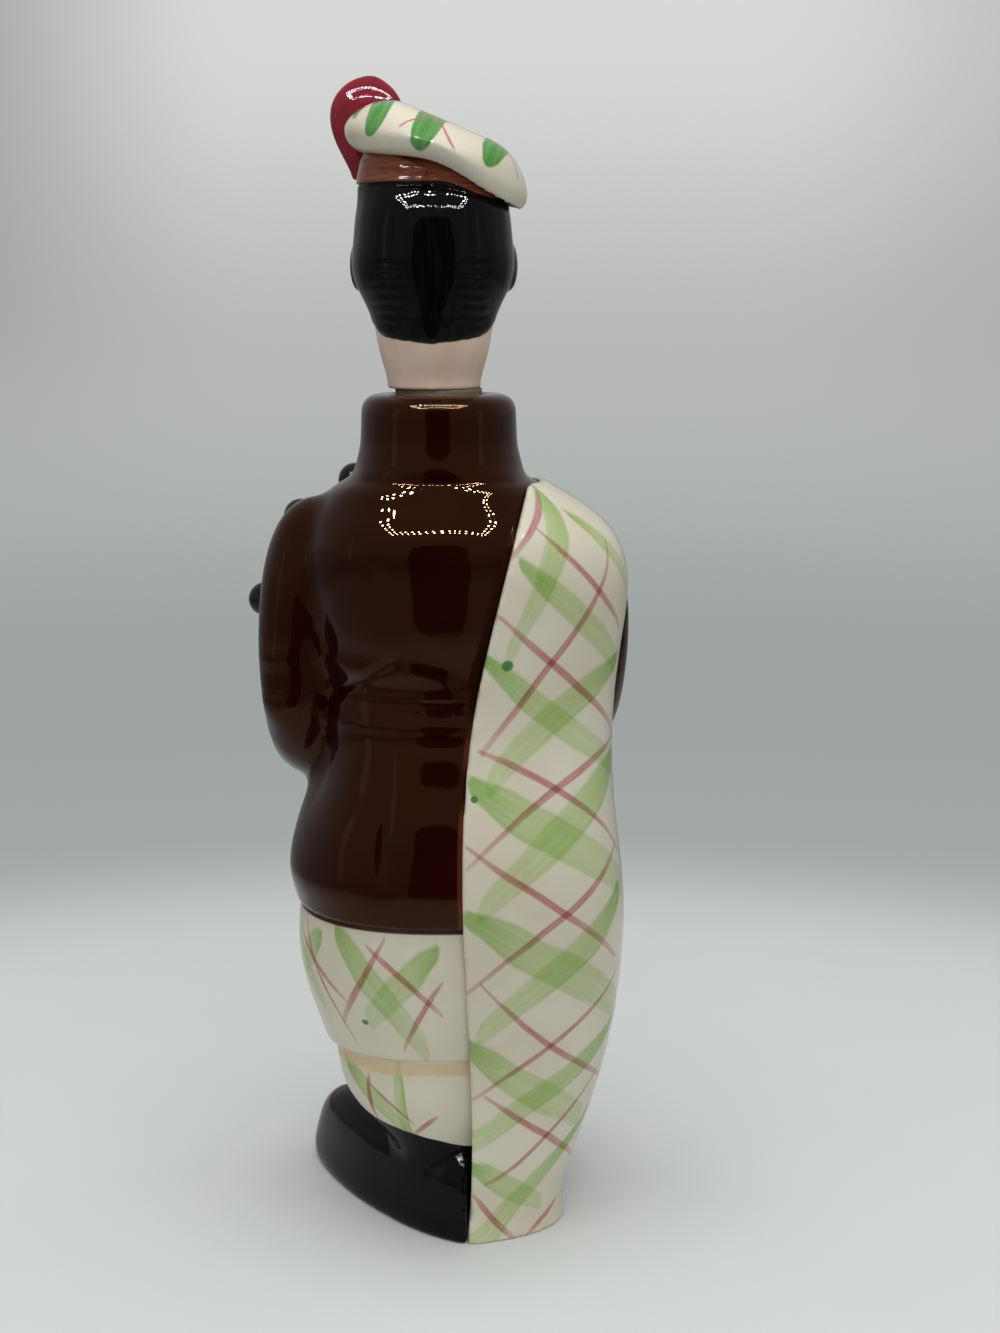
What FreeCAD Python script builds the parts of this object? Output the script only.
"""Figural liquor decanter: a glazed earthenware piper whose head is the stopper.

The figure faces -Y and stands on the XY plane, with the axis of its neck on Z.
Its left side is +X. Lengths are millimetres. Each piece that is moulded by itself
is one solid, and a piece laid on another is cut to the face that it is stuck to.
"""
import FreeCAD, Part

import math
import os

from FreeCAD import Matrix, Placement, Rotation, Vector

# Heights of the joints between the moulded sections of the vessel
KILT_HEM_HEIGHT = 57.0
JACKET_HEM_HEIGHT = 99.5
SHOULDER_HEIGHT = 219.5
COLLAR_TOP_HEIGHT = 243.0

# Thickness of the vessel
WALL = 4.5
FLOOR = 6.0
OVERRUN = 2.0

# Legs, kilt and jacket: half width and depths from the neck axis
LEG_HALF_WIDTH = 30.0
LEG_BACK = 22.0
LEG_FRONT = 27.0
KILT_HALF_WIDTH = 41.0
KILT_BACK = 36.5
KILT_FRONT = 35.0
JACKET_HALF_WIDTH = 43.0
JACKET_BACK = 38.5
JACKET_FRONT = 37.0

# Each level: height share, half width share, back share, front share, squareness share
leg_shares = [
    (0.00, 0.47, 0.59, 0.62, 1.05),
    (0.35, 0.44, 0.57, 0.62, 1.05),
    (0.50, 0.61, 0.71, 0.74, 1.07),
    (0.67, 0.87, 0.91, 0.88, 1.10),
    (0.84, 1.00, 1.02, 0.98, 1.12),
    (1.00, 1.05, 1.06, 1.02, 1.12),
]
kilt_shares = [
    (0.00, 0.815, 0.695, 0.83, 1.12),
    (0.14, 0.865, 0.755, 0.88, 1.12),
    (0.55, 0.985, 0.920, 0.98, 1.12),
    (1.00, 0.960, 0.990, 0.96, 1.12),
]
jacket_shares = [
    (0.00, 0.965, 0.985, 0.970, 1.12),
    (0.05, 0.995, 1.000, 0.995, 1.12),
    (0.14, 0.990, 0.985, 1.000, 1.12),
    (0.30, 0.850, 0.900, 0.860, 1.10),
    (0.40, 0.755, 0.770, 0.770, 1.08),
    (0.47, 0.700, 0.640, 0.700, 1.06),
    (0.55, 0.735, 0.665, 0.740, 1.06),
    (0.63, 0.800, 0.750, 0.800, 1.06),
    (0.72, 0.870, 0.795, 0.830, 1.06),
    (0.80, 0.910, 0.805, 0.840, 1.06),
    (0.91, 0.850, 0.745, 0.750, 1.03),
    (0.965, 0.740, 0.680, 0.715, 1.01),
    (1.00, 0.605, 0.636, 0.690, 1.00),
]
POINTS_PER_LEVEL = 16

# Half belt of two raised rolls across the waist at the back
BELT_HALF_DEPTH = 6.0
BELT_RISE = 1.6
BELT_POINTS = 24
BELT_HEIGHT_SHARE = 0.485
belt_shares = [(-1.0, -0.3), (-0.85, 0.7), (-0.5, 1.0), (-0.15, 0.6),
               (0.15, 0.6), (0.5, 1.0), (0.85, 0.7), (1.0, -0.3)]

# Standing collar, and the tapered mouth that the cork seats in
COLLAR_TOP_RADIUS = 21.3
COLLAR_WAIST_RADIUS = 21.9
COLLAR_FOOT_RADIUS = 24.2
COLLAR_EDGE_ROUND = 4.5
COLLAR_WAIST_SHARE = 0.40
MOUTH_RADIUS = 12.0
MOUTH_FOOT_RADIUS = 10.8
MOUTH_LIP_ROUND = 1.5

# Plaid cape from the right shoulder to the ground: how far it stands off the vessel
CAPE_SPREAD = 18.0
CAPE_STANDOFF = 5.0
CAPE_FRONT_EDGE = 10.0
CAPE_EDGE_TOP = 24.5
CAPE_EDGE_FOOT = 7.5
# Each level: height share, side spread share, back standoff share, squareness share
cape_shares = [
    (0.000, 1.25, 2.00, 0.97),
    (0.080, 1.37, 1.96, 1.02),
    (0.200, 1.00, 1.10, 1.12),
    (0.320, 0.78, 0.60, 1.20),
    (0.460, 0.61, 0.50, 1.24),
    (0.580, 0.60, 0.50, 1.24),
    (0.700, 1.03, 1.20, 1.22),
    (0.800, 0.95, 0.85, 1.20),
    (0.880, 0.79, 0.70, 1.18),
    (0.938, 0.60, 0.64, 1.12),
    (0.998, 0.18, 0.40, 1.05),
]
# The hanging edge: height share, and share of the way from its foot's side to its top's
cape_edge_shares = [(0.998, 1.00), (0.82, 0.42), (0.69, 0.09), (0.45, -0.03), (0.00, 0.00)]

# Sleeves: radius, and stations from shoulder to cuff as side, front and height
# shares of the jacket, each with its radius share
SLEEVE_RADIUS = 11.3
left_sleeve_shares = [
    (0.62, -0.04, 0.922, 0.64),
    (0.84, -0.06, 0.836, 1.00),
    (0.905, -0.09, 0.706, 1.03),
    (0.93, -0.10, 0.556, 0.97),
    (0.90, -0.02, 0.424, 0.94),
    (0.86, 0.24, 0.362, 0.92),
    (0.76, 0.60, 0.373, 0.86),
    (0.60, 0.93, 0.424, 0.78),
    (0.39, 1.14, 0.474, 0.74),
]
right_sleeve_shares = [
    (-0.71, 0.17, 0.871, 0.70),
    (-0.91, 0.26, 0.789, 0.96),
    (-1.00, 0.36, 0.668, 1.00),
    (-1.00, 0.43, 0.535, 0.96),
    (-0.93, 0.60, 0.403, 0.94),
    (-0.76, 0.88, 0.322, 0.86),
    (-0.52, 1.14, 0.281, 0.78),
    (-0.32, 1.28, 0.261, 0.74),
]

# Hands: a palm and four fingers that close round the chanter
PALM_RADIUS = 6.4
PALM_LENGTH = 17.0
FINGER_RADIUS = 2.3
FINGER_COUNT = 4
LEFT_HAND_SHARES = (0.23, 1.24, 0.446)
RIGHT_HAND_SHARES = (-0.14, 1.33, 0.262)
finger_shares = [(-0.2, 0.0, 0.9), (0.5, 0.75, 1.0), (1.2, 0.8, 1.0), (1.7, 0.2, 0.8)]

# Bagpipe: bag under the left arm, three drones on the shoulder, chanter in the hands.
# Its places are side, front and height shares of the jacket
BAG_LENGTH = 48.0
BAG_RADIUS = 16.0
BAG_PITCH = 28.0
BAG_SHARES = (0.49, 0.92, 0.554)
bag_shares = [(-0.50, 0.10), (-0.46, 0.45), (-0.32, 0.82), (-0.08, 1.00),
              (0.18, 0.92), (0.38, 0.66), (0.48, 0.36), (0.50, 0.10)]
DRONE_TUBE_RADIUS = 3.0
DRONE_BELL_RADIUS = 5.0
# Where each drone leaves the bag, and its tip
drone_end_shares = {
    "inner_tenor_drone": ((0.44, 0.88, 0.66), (0.60, 0.57, 1.02)),
    "outer_tenor_drone": ((0.60, 0.84, 0.64), (1.00, 0.51, 0.93)),
    "bass_drone": ((0.76, 0.84, 0.58), (1.29, 0.51, 0.712)),
}
drone_shares = [(0.00, 1.00), (0.42, 1.00), (0.42, 1.35), (0.50, 1.35), (0.50, 1.10), (0.74, 1.20)]
DRONE_BELL_SHARE = 0.80
CHANTER_RADIUS = 2.8
CHANTER_BELL_RADIUS = 5.2
CHANTER_TOP_SHARES = (0.14, 1.13, 0.59)
CHANTER_FOOT_SHARES = (0.00, 1.40, 0.04)

# Sporran and the tunic's buttons
SPORRAN_HALF_WIDTH = 9.0
SPORRAN_DEPTH = 6.0
SPORRAN_LENGTH = 24.0
SPORRAN_HEIGHT_SHARE = 0.60
BUTTON_RADIUS = 2.4
BUTTON_RISE = 1.4
BUTTON_SIDE = 8.0
button_height_shares = {"low_button": 0.63, "middle_button": 0.74, "top_button": 0.85}

# Shoes, heels together and toes turned out
SHOE_HEIGHT = 26.0
SHOE_HALF_WIDTH = 16.2
SHOE_HEEL = 40.0
SHOE_TOE = 49.0
SHOE_STEP = 14.0
LEFT_TOE_OUT = 38.0
RIGHT_TOE_OUT = 25.0
shoe_shares = [
    (0.00, 0.98, 0.99, 0.98, 1.05),
    (0.10, 1.02, 1.01, 1.01, 1.05),
    (0.35, 0.99, 1.00, 0.99, 1.05),
    (0.60, 0.93, 0.97, 0.94, 1.05),
    (0.80, 0.84, 0.92, 0.86, 1.05),
    (0.93, 0.70, 0.84, 0.73, 1.05),
    (1.00, 0.51, 0.72, 0.55, 1.05),
]

# Stopper: head with its spigot, and the cork sleeve on it
CORK_LIP = 1.5
CORK_LENGTH = 21.0
CORK_GAP = 0.05
SPIGOT_RADIUS = 7.5
SPIGOT_LENGTH = 19.0
HEAD_HEIGHT = 64.0
HEAD_HALF_WIDTH = 22.9
HEAD_BACK = 21.8
HEAD_FRONT = 22.5
HEAD_SIDE = 1.2
head_shares = [
    (0.000, 0.563, 0.590, 0.570, 1.00),
    (0.117, 0.638, 0.690, 0.610, 1.00),
    (0.227, 0.716, 0.850, 0.880, 1.00),
    (0.314, 0.786, 0.910, 0.985, 1.01),
    (0.398, 0.900, 0.955, 1.000, 1.02),
    (0.467, 0.978, 0.985, 0.990, 1.03),
    (0.539, 1.000, 1.000, 0.980, 1.04),
    (0.680, 0.965, 0.975, 0.960, 1.04),
    (0.805, 0.922, 0.895, 0.930, 1.04),
    (0.900, 0.900, 0.780, 0.910, 1.03),
    (0.960, 0.800, 0.680, 0.810, 1.02),
    (1.000, 0.550, 0.520, 0.560, 1.00),
]
# Ear and nose, from the head's half width, front and height
EAR_CENTRE_SHARES = (0.93, 0.12, 0.52)
EAR_SIZE_SHARES = (0.11, 0.21, 0.30)
NOSE_LENGTH = 11.0
NOSE_HALF_WIDTH = 3.4
NOSE_RISE = 4.6
NOSE_HEIGHT_SHARE = 0.44

# Round bonnet, its band and the red cockade
CAP_RADIUS = 25.5
CAP_CROWN = 11.0
CAP_UNDERSIDE = 6.2
CAP_TILT = 22.0
CAP_HEIGHT_SHARE = 0.95
cap_shares = [(0.00, 1.00), (0.45, 0.95), (0.78, 0.70), (0.96, 0.28), (1.00, -0.08),
              (0.93, -0.62), (0.74, -0.95), (0.50, -1.00), (0.00, -1.00)]
BAND_RISE = 0.9
BAND_FOOT_SHARE = 0.855
BAND_TOP_SHARE = 0.995
COCKADE_HALF_WIDTH = 10.3
COCKADE_HALF_DEPTH = 4.2
COCKADE_LENGTH = 28.5
COCKADE_LEAN = 9.0
COCKADE_STEM_SHARES = (0.93, 0.58, 0.883)
cockade_shares = [(0.00, 0.16), (0.10, 0.30), (0.28, 0.66), (0.48, 0.94), (0.64, 1.00),
                  (0.80, 0.86), (0.92, 0.56), (0.98, 0.26), (1.00, 0.10)]

FORWARD = Vector(0, -1, 0)
SIDEWAYS = Vector(1, 0, 0)
UP = Vector(0, 0, 1)


def smooth_ring(points):
    """A smooth closed line through the points."""
    curve = Part.BSplineCurve()
    curve.interpolate(points, True)
    return Part.Wire(curve.toShape())


def level_wire(height, half_width, back, front, squareness):
    """One closed level of the figure: a rounded outline round the axis."""
    power = 1 / squareness
    points = []
    for step in range(POINTS_PER_LEVEL):
        angle = 2 * math.pi * step / POINTS_PER_LEVEL
        cosine, sine = math.cos(angle), math.sin(angle)
        depth = back if sine > 0 else front
        points.append(Vector(
            half_width * math.copysign(abs(cosine) ** power, cosine),
            depth * math.copysign(abs(sine) ** power, sine),
            height,
        ))
    return smooth_ring(points)


def levels_of(shares, foot, top, half_width, back, front, growth=0.0):
    """The levels of one moulded section, all its sides moved out by the growth."""
    return [
        (foot + share[0] * (top - foot), share[1] * half_width + growth,
         share[2] * back + growth, share[3] * front + growth, share[4])
        for share in shares
    ]


def loft(levels):
    """A smooth solid through the levels."""
    return Part.makeLoft([level_wire(*level) for level in levels], True, False)


def leg_levels(growth=0.0):
    return levels_of(leg_shares, 0, KILT_HEM_HEIGHT, LEG_HALF_WIDTH, LEG_BACK, LEG_FRONT, growth)


def kilt_levels(growth=0.0):
    return levels_of(kilt_shares, KILT_HEM_HEIGHT, JACKET_HEM_HEIGHT,
                     KILT_HALF_WIDTH, KILT_BACK, KILT_FRONT, growth)


def jacket_levels(growth=0.0):
    return levels_of(jacket_shares, JACKET_HEM_HEIGHT, SHOULDER_HEIGHT,
                     JACKET_HALF_WIDTH, JACKET_BACK, JACKET_FRONT, growth)


def on_jacket(side_share, front_share, height_share):
    """A place given as shares of the jacket's half width, front and height."""
    height = JACKET_HEM_HEIGHT + height_share * (SHOULDER_HEIGHT - JACKET_HEM_HEIGHT)
    return Vector(side_share * JACKET_HALF_WIDTH, -front_share * JACKET_FRONT, height)


def on_head(side_share, front_share, height_share):
    """A place given as shares of the head's half width, front and height."""
    height = COLLAR_TOP_HEIGHT + CORK_LIP + height_share * HEAD_HEIGHT
    return Vector(HEAD_SIDE + side_share * HEAD_HALF_WIDTH, -front_share * HEAD_FRONT, height)


def head_form(growth=0.0):
    """Neck and head, set a little to the figure's left of the mouth."""
    foot = COLLAR_TOP_HEIGHT + CORK_LIP
    form = loft(levels_of(head_shares, foot, foot + HEAD_HEIGHT,
                          HEAD_HALF_WIDTH, HEAD_BACK, HEAD_FRONT, growth))
    form.translate(SIDEWAYS * HEAD_SIDE)
    return form


def vessel_at(height):
    """The vessel's half width and back at a height."""
    stack = leg_levels() + kilt_levels() + jacket_levels()
    low, high = next(pair for pair in zip(stack, stack[1:]) if pair[0][0] <= height < pair[1][0])
    share = (height - low[0]) / (high[0] - low[0])
    return [low[size] + share * (high[size] - low[size]) for size in (1, 2)]


def limb(stations, across=FORWARD):
    """A tube through stations of (point, half width, half depth), square to its own line.

    The half width is measured along the across direction, carried without twist.
    """
    wires = []
    for index, (point, half_width, half_depth) in enumerate(stations):
        before = stations[max(index - 1, 0)][0]
        after = stations[min(index + 1, len(stations) - 1)][0]
        along = (after - before).normalize()
        deep = along.cross(across).normalize()
        across = deep.cross(along).normalize()
        points = []
        for step in range(POINTS_PER_LEVEL):
            angle = 2 * math.pi * step / POINTS_PER_LEVEL
            offset = across * (half_width * math.cos(angle)) + deep * (half_depth * math.sin(angle))
            points.append(point + offset)
        wires.append(smooth_ring(points))
    return Part.makeLoft(wires, True, False)


def turned(points, axis_foot=Vector(0, 0, 0), direction=UP):
    """A turned solid from (radius, height) points, with its axis stood along a direction."""
    outline = [Vector(radius, 0, height) for radius, height in points]
    wire = Part.makePolygon(outline + [outline[0]])
    solid = Part.Face(wire).revolve(Vector(0, 0, 0), UP, 360)
    solid.Placement = Placement(axis_foot, Rotation(UP, direction))
    return solid


def ellipsoid(centre, half_x, half_y, half_z):
    """A ball drawn out along the three axes."""
    stretch = Matrix()
    stretch.scale(half_x, half_y, half_z)
    ball = Part.makeSphere(1).transformGeometry(stretch)
    ball.translate(centre)
    return ball


def laid_on(piece, *carriers):
    """The piece with the room that its carriers take cut away, and no loose crumbs."""
    for carrier in carriers:
        piece = piece.cut(carrier)
    return max(piece.Solids, key=lambda solid: solid.Volume)


def mouth_radius_at(height):
    """The tapered mouth's radius at a height in the collar or just below it."""
    share = (height - SHOULDER_HEIGHT) / (COLLAR_TOP_HEIGHT - SHOULDER_HEIGHT)
    return MOUTH_FOOT_RADIUS + share * (MOUTH_RADIUS - MOUTH_FOOT_RADIUS)


def liquor_cavity():
    """The hollow inside legs, kilt and jacket, as one smooth form with the neck's hole on top."""
    inside = [level for level in leg_levels(-WALL) if level[0] > FLOOR]
    floor_level = (FLOOR,) + leg_levels(-WALL)[0][1:]
    inside = [floor_level] + inside[:-1] + kilt_levels(-WALL)[1:-1] + jacket_levels(-WALL)[1:]
    inside = [level for level in inside if level[0] < SHOULDER_HEIGHT - WALL]
    neck_foot = inside[-1][0] - OVERRUN
    neck = Part.makeCone(mouth_radius_at(neck_foot), mouth_radius_at(SHOULDER_HEIGHT + OVERRUN),
                         SHOULDER_HEIGHT + OVERRUN - neck_foot, Vector(0, 0, neck_foot))
    return loft(inside).fuse(neck)


def standing_collar():
    """The collar that stands round the mouth, with a rounded outer edge and lip."""
    waist_height = SHOULDER_HEIGHT + COLLAR_WAIST_SHARE * (COLLAR_TOP_HEIGHT - SHOULDER_HEIGHT)
    collar = turned([
        (MOUTH_FOOT_RADIUS, SHOULDER_HEIGHT),
        (COLLAR_FOOT_RADIUS, SHOULDER_HEIGHT),
        (COLLAR_WAIST_RADIUS, waist_height),
        (COLLAR_TOP_RADIUS, COLLAR_TOP_HEIGHT),
        (MOUTH_RADIUS, COLLAR_TOP_HEIGHT),
    ])
    rims = {MOUTH_RADIUS: MOUTH_LIP_ROUND, COLLAR_TOP_RADIUS: COLLAR_EDGE_ROUND}
    for radius, rounding in rims.items():
        rim = [edge for edge in collar.Edges if is_rim(edge, radius, COLLAR_TOP_HEIGHT)]
        collar = collar.makeFillet(rounding, rim)
    return collar


def is_rim(edge, radius, height):
    """Whether an edge is the level circle of that radius at that height."""
    curve = edge.Curve
    if not isinstance(curve, Part.Circle):
        return False
    return math.isclose(curve.Radius, radius) and math.isclose(curve.Center.z, height)


def moved_out(ring, distance):
    """The points of a level ring round the axis, each moved square out from the ring."""
    moved = []
    for index, point in enumerate(ring):
        along = ring[(index + 1) % len(ring)] - ring[index - 1]
        out = along.cross(UP).normalize()
        moved.append(point + out * math.copysign(distance, distance * out.dot(point)))
    return moved


def half_belt(jacket):
    """The belt's two rolls, taken round the waist of the jacket."""
    middle = JACKET_HEM_HEIGHT + BELT_HEIGHT_SHARE * (SHOULDER_HEIGHT - JACKET_HEM_HEIGHT)
    rings = []
    for height_share, rise_share in belt_shares:
        outline = jacket.slice(UP, middle + height_share * BELT_HALF_DEPTH)[0]
        ring = outline.discretize(BELT_POINTS + 1)[:-1]
        rings.append(smooth_ring(moved_out(ring, rise_share * BELT_RISE)))
    rolls = Part.makeLoft(rings, True, False)
    box = rolls.BoundBox
    behind = Part.makeBox(box.XLength, box.YMax, box.ZLength, Vector(box.XMin, 0, box.ZMin))
    return rolls.common(behind)


def sleeve(shares):
    """A sleeve along its stations from shoulder to cuff."""
    stations = []
    for side_share, front_share, height_share, radius_share in shares:
        radius = radius_share * SLEEVE_RADIUS
        stations.append((on_jacket(side_share, front_share, height_share), radius, radius))
    return limb(stations)


def plaid_cape(*carriers):
    """The cape: its outer form, kept to the right of its hanging edge and behind its front edge."""
    levels = []
    for height_share, spread_share, standoff_share, squareness_share in cape_shares:
        height = height_share * SHOULDER_HEIGHT
        half_width, back = vessel_at(height)
        half_width += spread_share * CAPE_SPREAD
        levels.append((height, half_width, back + standoff_share * CAPE_STANDOFF,
                       half_width, squareness_share))
    form = loft(levels)
    edge = []
    for height_share, side_share in cape_edge_shares:
        side = CAPE_EDGE_FOOT + side_share * (CAPE_EDGE_TOP - CAPE_EDGE_FOOT)
        edge.append(Vector(-side, -CAPE_FRONT_EDGE, height_share * SHOULDER_HEIGHT))
    hanging_edge = Part.BSplineCurve()
    hanging_edge.interpolate(edge)
    far_side = SIDEWAYS * (form.BoundBox.XMin - OVERRUN - edge[-1].x)
    top_far_side = Vector(edge[-1].x, edge[0].y, edge[0].z) + far_side
    corners = [edge[-1], edge[-1] + far_side, top_far_side, edge[0]]
    outline = Part.Wire([hanging_edge.toShape()] + Part.makePolygon(corners).Edges)
    kept = Part.Face(outline).extrude(Vector(0, CAPE_FRONT_EDGE + form.BoundBox.YMax + OVERRUN, 0))
    return laid_on(form.common(kept), *carriers)


def shoe(toe_out):
    """One shoe with its heel by the axis and its toe turned out."""
    form = loft(levels_of(shoe_shares, 0, SHOE_HEIGHT, SHOE_HALF_WIDTH, SHOE_HEEL, SHOE_TOE))
    turn = Rotation(UP, toe_out)
    form.Placement = Placement(turn.multVec(FORWARD) * SHOE_STEP, turn)
    return form


def left_of_cape(form):
    """The part of a form that lies on the left of the cape's foot."""
    box = form.BoundBox
    corner = Vector(-CAPE_EDGE_FOOT, box.YMin, box.ZMin)
    return form.common(Part.makeBox(box.XMax - corner.x, box.YLength, box.ZLength, corner))


def pipe_bag():
    """The bag, fullest in the middle and drawn in at both ends."""
    direction = Rotation(Vector(0, 1, 0), BAG_PITCH).multVec(-SIDEWAYS)
    stations = []
    for length_share, radius_share in bag_shares:
        point = on_jacket(*BAG_SHARES) + direction * (length_share * BAG_LENGTH)
        stations.append((point, radius_share * BAG_RADIUS, radius_share * BAG_RADIUS))
    return limb(stations)


def drone(stock, tip):
    """One drone from its stock in the bag to its rounded bell."""
    reach = tip - stock
    length = reach.Length
    points = [(0, 0)]
    points += [(radius_share * DRONE_TUBE_RADIUS, length_share * length)
               for length_share, radius_share in drone_shares]
    bell_foot = DRONE_BELL_SHARE * length
    dome_foot = length - DRONE_BELL_RADIUS
    points += [(DRONE_BELL_RADIUS, bell_foot), (DRONE_BELL_RADIUS, dome_foot), (0, dome_foot)]
    body = turned(points)
    dome = Part.makeSphere(DRONE_BELL_RADIUS, Vector(0, 0, dome_foot))
    pipe = body.fuse(dome).removeSplitter()
    pipe.Placement = Placement(stock, Rotation(UP, reach))
    return pipe


def chanter():
    """The chanter, a slim pipe that flares to a bell at its foot."""
    top, foot = on_jacket(*CHANTER_TOP_SHARES), on_jacket(*CHANTER_FOOT_SHARES)
    length = (foot - top).Length
    return turned([
        (0, 0),
        (CHANTER_RADIUS, 0),
        (CHANTER_RADIUS, length - 2 * CHANTER_BELL_RADIUS),
        (CHANTER_BELL_RADIUS, length - CHANTER_RADIUS),
        (CHANTER_BELL_RADIUS, length),
        (0, length),
    ], top, foot - top)


def hand(wrist, side):
    """A hand that closes on the chanter; side is 1 for the left and -1 for the right."""
    palm = ellipsoid(wrist, PALM_LENGTH / 2, PALM_RADIUS, PALM_RADIUS)
    for finger in range(FINGER_COUNT):
        height = (finger - (FINGER_COUNT - 1) / 2) * 2 * FINGER_RADIUS
        stations = []
        for inward_share, forward_share, radius_share in finger_shares:
            point = wrist + Vector(-side * inward_share * PALM_RADIUS, -forward_share * PALM_RADIUS, height)
            stations.append((point, radius_share * FINGER_RADIUS, radius_share * FINGER_RADIUS))
        palm = palm.fuse(limb(stations, UP))
    return palm


def sporran():
    """The pouch that hangs on the front of the kilt."""
    middle = KILT_HEM_HEIGHT + SPORRAN_HEIGHT_SHARE * (JACKET_HEM_HEIGHT - KILT_HEM_HEIGHT)
    return ellipsoid(Vector(0, -KILT_FRONT, middle), SPORRAN_HALF_WIDTH, SPORRAN_DEPTH, SPORRAN_LENGTH / 2)


def tunic_button(jacket, height_share):
    """One domed button seated square on the tunic's front."""
    middle = on_jacket(0, 0, height_share) - SIDEWAYS * BUTTON_SIDE
    line = Part.makeLine(middle, middle + FORWARD * (2 * JACKET_FRONT))
    seat = min(jacket.common(line).Vertexes, key=lambda vertex: vertex.Y).Point
    cloth = max(jacket.Faces, key=lambda face: face.Area)
    outward = cloth.normalAt(*cloth.Surface.parameter(seat))
    return turned([
        (0, 0),
        (BUTTON_RADIUS, 0),
        (BUTTON_RADIUS, BUTTON_RISE / 2),
        (BUTTON_RADIUS / 2, BUTTON_RISE),
        (0, BUTTON_RISE),
    ], seat, outward)


def cork_sleeve():
    """The cork on the stopper's spigot, tapered to the mouth."""
    top = COLLAR_TOP_HEIGHT + CORK_LIP
    foot = COLLAR_TOP_HEIGHT - CORK_LENGTH
    bore = SPIGOT_RADIUS + CORK_GAP
    return turned([
        (bore, foot),
        (mouth_radius_at(foot) - CORK_GAP, foot),
        (mouth_radius_at(COLLAR_TOP_HEIGHT) - CORK_GAP, COLLAR_TOP_HEIGHT),
        (mouth_radius_at(top) - CORK_GAP, top),
        (bore, top),
    ])


def head_casting(form):
    """Neck, head, ears and nose, with the spigot that carries the cork."""
    foot = COLLAR_TOP_HEIGHT + CORK_LIP
    spigot = Part.makeCylinder(SPIGOT_RADIUS, SPIGOT_LENGTH, Vector(0, 0, foot - SPIGOT_LENGTH))
    ear_side, ear_front, ear_height = EAR_CENTRE_SHARES
    ear_sizes = [share * HEAD_HALF_WIDTH for share in EAR_SIZE_SHARES]
    ears = [ellipsoid(on_head(side * ear_side, ear_front, ear_height), *ear_sizes) for side in (-1, 1)]
    tip = on_head(0, 1, NOSE_HEIGHT_SHARE)
    nose = limb([
        (tip - UP * NOSE_HALF_WIDTH / 2, NOSE_RISE / 2, NOSE_HALF_WIDTH / 2),
        (tip, NOSE_RISE, NOSE_HALF_WIDTH),
        (tip + UP * NOSE_LENGTH / 2, NOSE_RISE / 2, NOSE_HALF_WIDTH / 2),
        (tip + UP * NOSE_LENGTH, NOSE_RISE / 2, NOSE_HALF_WIDTH / 2),
    ])
    return form.fuse([spigot, nose] + ears)


def tam_cap():
    """The soft round bonnet, tipped to the figure's right."""
    points = []
    for radius_share, height_share in cap_shares:
        depth = CAP_CROWN if height_share > 0 else CAP_UNDERSIDE
        points.append(Vector(radius_share * CAP_RADIUS, 0, height_share * depth))
    curve = Part.BSplineCurve()
    curve.interpolate(points, False, InitialTangent=SIDEWAYS, FinalTangent=-SIDEWAYS)
    outline = Part.Wire([curve.toShape(), Part.makeLine(points[-1], points[0])])
    cap = Part.Face(outline).revolve(Vector(0, 0, 0), UP, 360)
    cap.Placement = Placement(on_head(0, 0, CAP_HEIGHT_SHARE), Rotation(Vector(0, 1, 0), -CAP_TILT))
    return cap


def cap_band():
    """The band round the head under the bonnet."""
    grown = head_form(BAND_RISE)
    box = grown.BoundBox
    foot = on_head(0, 0, BAND_FOOT_SHARE).z
    depth = on_head(0, 0, BAND_TOP_SHARE).z - foot
    return grown.common(Part.makeBox(box.XLength, box.YLength, depth, Vector(box.XMin, box.YMin, foot)))


def cockade():
    """The red cockade: a petal that widens from its stem by the band to a round head."""
    direction = Rotation(Vector(0, 1, 0), -COCKADE_LEAN).multVec(UP)
    stations = []
    for length_share, width_share in cockade_shares:
        point = on_head(*COCKADE_STEM_SHARES) + direction * (length_share * COCKADE_LENGTH)
        stations.append((point, width_share * COCKADE_HALF_WIDTH, width_share * COCKADE_HALF_DEPTH))
    return limb(stations, SIDEWAYS)


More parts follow.
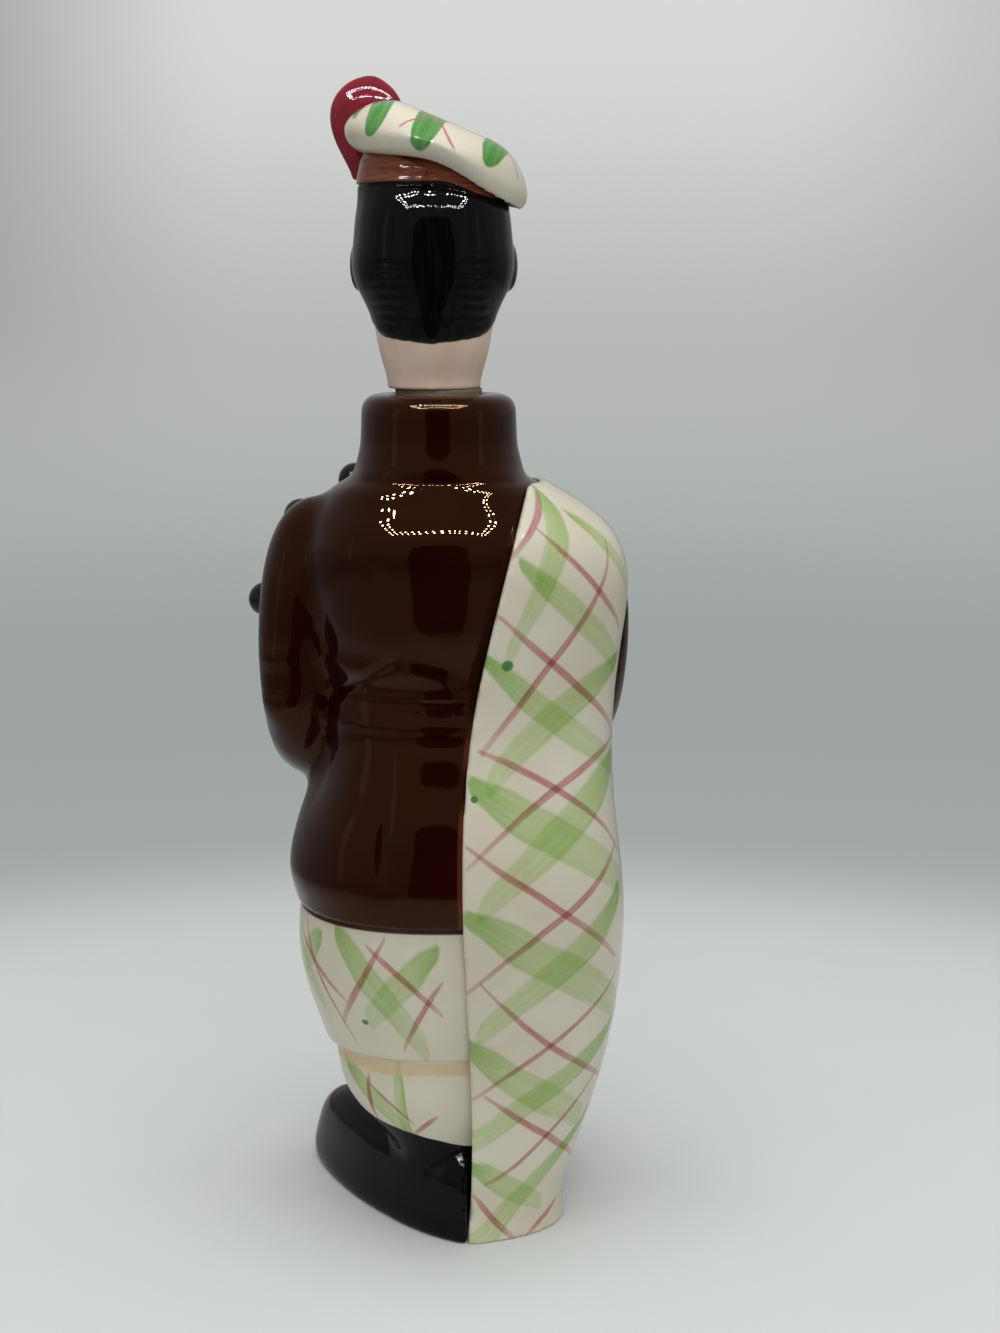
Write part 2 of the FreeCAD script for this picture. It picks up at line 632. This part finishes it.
def main():
    os.makedirs("parts", exist_ok=True)
    cavity = liquor_cavity()
    legs = loft(leg_levels())
    kilt = loft(kilt_levels())
    jacket = loft(jacket_levels())
    collar = standing_collar()
    cape = plaid_cape(collar, jacket, kilt, legs)
    left_sleeve = laid_on(sleeve(left_sleeve_shares), jacket)
    right_sleeve = laid_on(sleeve(right_sleeve_shares), jacket, cape)
    bag = laid_on(pipe_bag(), jacket, left_sleeve)
    pipe = laid_on(chanter(), bag, jacket)
    left_shoe = laid_on(left_of_cape(shoe(LEFT_TOE_OUT)), legs)
    pieces = {
        "stocking_legs": legs.cut(cavity),
        "kilt_shell": kilt.cut(cavity),
        "jacket_shell": jacket.cut(cavity),
        "standing_collar": collar,
        "plaid_cape": cape,
        "left_sleeve": left_sleeve,
        "right_sleeve": right_sleeve,
        "half_belt": laid_on(half_belt(jacket), jacket, cape, left_sleeve),
        "pipe_bag": bag,
        "chanter": pipe,
        "left_hand": laid_on(hand(on_jacket(*LEFT_HAND_SHARES), 1), pipe, left_sleeve, bag),
        "right_hand": laid_on(hand(on_jacket(*RIGHT_HAND_SHARES), -1), pipe, right_sleeve),
        "sporran": laid_on(sporran(), kilt, jacket),
        "left_shoe": left_shoe,
        "right_shoe": laid_on(shoe(-RIGHT_TOE_OUT), left_shoe, legs, cape),
    }
    for name, height_share in button_height_shares.items():
        pieces[name] = tunic_button(jacket, height_share)
    for name, (stock_shares, tip_shares) in drone_end_shares.items():
        pipe = drone(on_jacket(*stock_shares), on_jacket(*tip_shares))
        pieces[name] = laid_on(pipe, jacket, collar, left_sleeve, bag)

    head = head_form()
    cap = laid_on(tam_cap(), head)
    band = laid_on(cap_band(), head, cap)
    pieces.update({
        "cork_sleeve": cork_sleeve(),
        "head_casting": head_casting(head),
        "tam_cap": cap,
        "cap_band": band,
        "cap_cockade": laid_on(cockade(), head, cap, band),
    })
    for name, shape in pieces.items():
        print(name, shape.isValid(), len(shape.Solids), round(shape.Volume))
        shape.exportStep("parts/%s.step" % name)


main()
